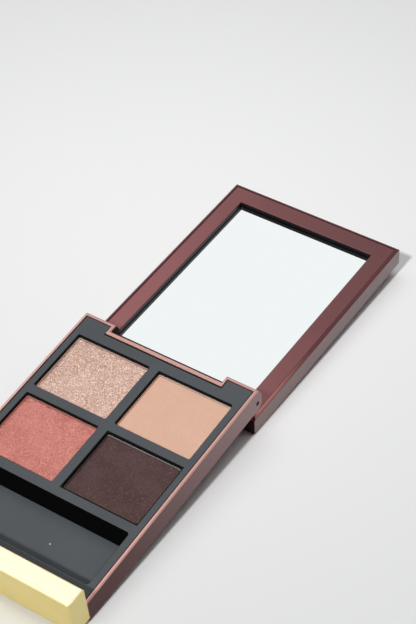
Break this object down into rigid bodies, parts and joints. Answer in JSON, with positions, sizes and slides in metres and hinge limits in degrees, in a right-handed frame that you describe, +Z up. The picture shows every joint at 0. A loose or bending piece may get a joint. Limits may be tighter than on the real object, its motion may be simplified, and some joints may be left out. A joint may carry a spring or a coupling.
{
  "type": "eyeshadow palette",
  "caption": "Flat make-up compact, open: pressed powders in metal pans and an applicator compartment in the base, a mirror in the hinged lid, and a gold bar across the front.",
  "frame": {"origin": "bottom centre of the open compact's bounding box, on the surface it stands on", "axes": "+X to the right along the hinge, +Y from the gold front bar towards the far end of the open lid, +Z up"},
  "size_m": [0.0562, 0.1594, 0.0154],
  "materials": {
    "shell": "satin burgundy lacquer",
    "bezel": "satin burgundy",
    "tray": "satin slate black",
    "pan": "pressed, bright rim",
    "champagne": "glitter",
    "peach": "soft shimmer",
    "coral": "satin",
    "brown": "fine shimmer",
    "glue": "hot-melt glue",
    "gold": "polished pale gold",
    "steel": "bright",
    "magnet": "nickel plated",
    "mirror": "silvered glass",
    "adhesive": "double-sided sheet"
  },
  "bodies": {
    "base": {"base_shell": "shell", "tray": "tray", "front_bar": "gold", "pan_1": "pan", "powder_1": "coral", "pan_glue_1": "glue", "pan_2": "pan", "powder_2": "brown", "pan_glue_2": "glue", "pan_3": "pan", "powder_3": "champagne", "pan_glue_3": "glue", "pan_4": "pan", "powder_4": "peach", "pan_glue_4": "glue", "bar_screw_left": "steel", "hinge_pin_left": "steel", "base_magnet_left": "magnet", "bar_screw_right": "steel", "hinge_pin_right": "steel", "base_magnet_right": "magnet"},
    "lid": {"lid_shell": "shell", "mirror_bezel": "bezel", "mirror": "mirror", "mirror_adhesive": "adhesive", "lid_keeper_left": "steel", "lid_keeper_right": "steel"}
  },
  "joints": [
    {"name": "lid_hinge", "type": "hinge", "parent": "base", "child": "lid", "pos_m": [0, 0.00327, 0.0108], "axis": [1, 0, 0], "range_deg": [0, 183.4]}
  ]
}
